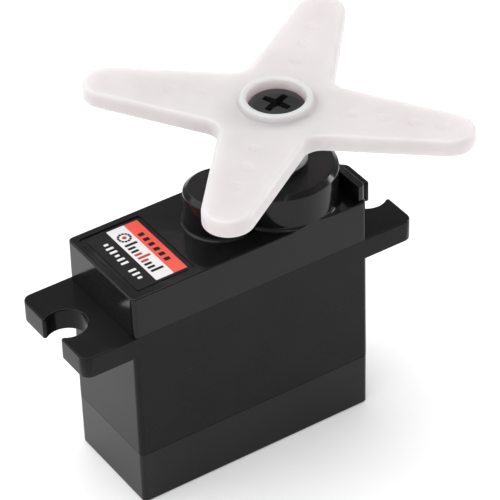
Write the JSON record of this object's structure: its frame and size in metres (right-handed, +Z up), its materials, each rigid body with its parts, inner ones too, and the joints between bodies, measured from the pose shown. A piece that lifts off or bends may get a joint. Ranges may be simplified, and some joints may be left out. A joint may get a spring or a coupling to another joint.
{
  "type": "servo motor",
  "caption": "Mini hobby servo with a four-arm horn, split black case with open-ended mounting ears, metal gear train, motor and feedback pot.",
  "frame": {"origin": "on the output axis at the case's bottom face", "axes": "+Z up the output shaft towards the horn, +X towards the short output end, +Y across the case"},
  "size_m": [0.0439, 0.0324, 0.0394],
  "materials": {
    "case_plastic": "glossy moulded black plastic with light handling marks",
    "ear_plastic": "glossy moulded black plastic",
    "label_print": "printed sticker with a black, a white and a red band",
    "horn_nylon": "milky translucent nylon",
    "black_screw": "black oxide steel, worn on the drive recess",
    "bright_screw": "zinc plated steel",
    "gland_rubber": "soft black rubber",
    "can_steel": "drawn nickel plated steel",
    "bell_plastic": "moulded dark plastic",
    "magnet": "sintered magnet",
    "bronze": "sintered bronze",
    "carbon": "pressed carbon",
    "terminal_brass": "tinned brass",
    "board": "green solder mask",
    "chip": "moulded epoxy",
    "transistor": "moulded epoxy",
    "ceramic_cap": "ceramic with tinned ends",
    "pot_plastic": "moulded blue plastic",
    "pot_nylon": "natural nylon",
    "pot_metal": "sprung brass",
    "wire_red": "wire insulation",
    "bright_steel": "ground steel",
    "race_steel": "polished bearing steel",
    "cage": "pressed brass cage",
    "core_steel": "stacked laminations",
    "copper": "enamelled copper",
    "gear_brass": "machined brass",
    "gear_steel": "machined steel"
  },
  "bodies": {
    "case": {"bottom_cover": "case_plastic", "middle_case": "ear_plastic", "top_cover": "case_plastic", "case_screws": "bright_screw", "label_plate": "label_print", "cable_gland": "gland_rubber", "motor_can": "can_steel", "motor_end_bell": "bell_plastic", "motor_magnets": "magnet", "motor_bushing": "bronze", "motor_brushes": "carbon", "motor_terminals": "terminal_brass", "circuit_board": "board", "controller_chip": "chip", "driver_transistors": "transistor", "capacitor": "ceramic_cap", "pot_body": "pot_plastic", "pot_terminals": "terminal_brass", "pot_wires": "wire_red", "idler_pin": "bright_steel", "bearing_outer_race": "race_steel"},
    "motor_rotor": {"motor_shaft": "bright_steel", "armature_core": "core_steel", "armature_windings": "copper", "commutator": "copper", "motor_pinion": "gear_brass"},
    "first_idler": {"first_gear": "gear_brass"},
    "second_idler": {"second_gear": "gear_steel"},
    "third_idler": {"third_gear": "gear_brass"},
    "bearing_cage": {"bearing_cage": "cage", "bearing_balls": "race_steel"},
    "output": {"output_shaft": "gear_steel", "output_gear": "gear_steel", "bearing_inner_race": "race_steel", "pot_shaft": "pot_nylon", "pot_wiper": "pot_metal", "servo_horn": "horn_nylon", "horn_screw": "black_screw"}
  },
  "joints": [
    {"name": "output_turn", "type": "hinge", "parent": "case", "child": "output", "pos_m": [0, 0, 0.025], "axis": [0, 0, 1], "range_deg": [-60, 60]},
    {"name": "third_spin", "type": "hinge", "parent": "case", "child": "third_idler", "pos_m": [-0.0065, 0, 0.025], "axis": [0, 0, 1], "range_deg": [-170, 170]},
    {"name": "second_spin", "type": "hinge", "parent": "case", "child": "second_idler", "pos_m": [0, 0, 0.025], "axis": [0, 0, 1], "range_deg": [-450, 450]},
    {"name": "first_spin", "type": "hinge", "parent": "case", "child": "first_idler", "pos_m": [-0.0065, 0, 0.025], "axis": [0, 0, 1], "range_deg": [-1210, 1210]},
    {"name": "motor_spin", "type": "hinge", "parent": "case", "child": "motor_rotor", "pos_m": [-0.0123, 0, 0.025], "axis": [0, 0, 1], "range_deg": [-5800, 5800]},
    {"name": "cage_spin", "type": "hinge", "parent": "case", "child": "bearing_cage", "pos_m": [0, 0, 0.025], "axis": [0, 0, 1], "range_deg": [-30, 30]}
  ],
  "couplings": [
    {"joint": "third_spin", "follows": "output_turn", "ratio": -2.7143},
    {"joint": "second_spin", "follows": "output_turn", "ratio": 7.3673},
    {"joint": "first_spin", "follows": "output_turn", "ratio": -19.997},
    {"joint": "motor_spin", "follows": "output_turn", "ratio": 95.986},
    {"joint": "cage_spin", "follows": "output_turn", "ratio": 0.43}
  ]
}
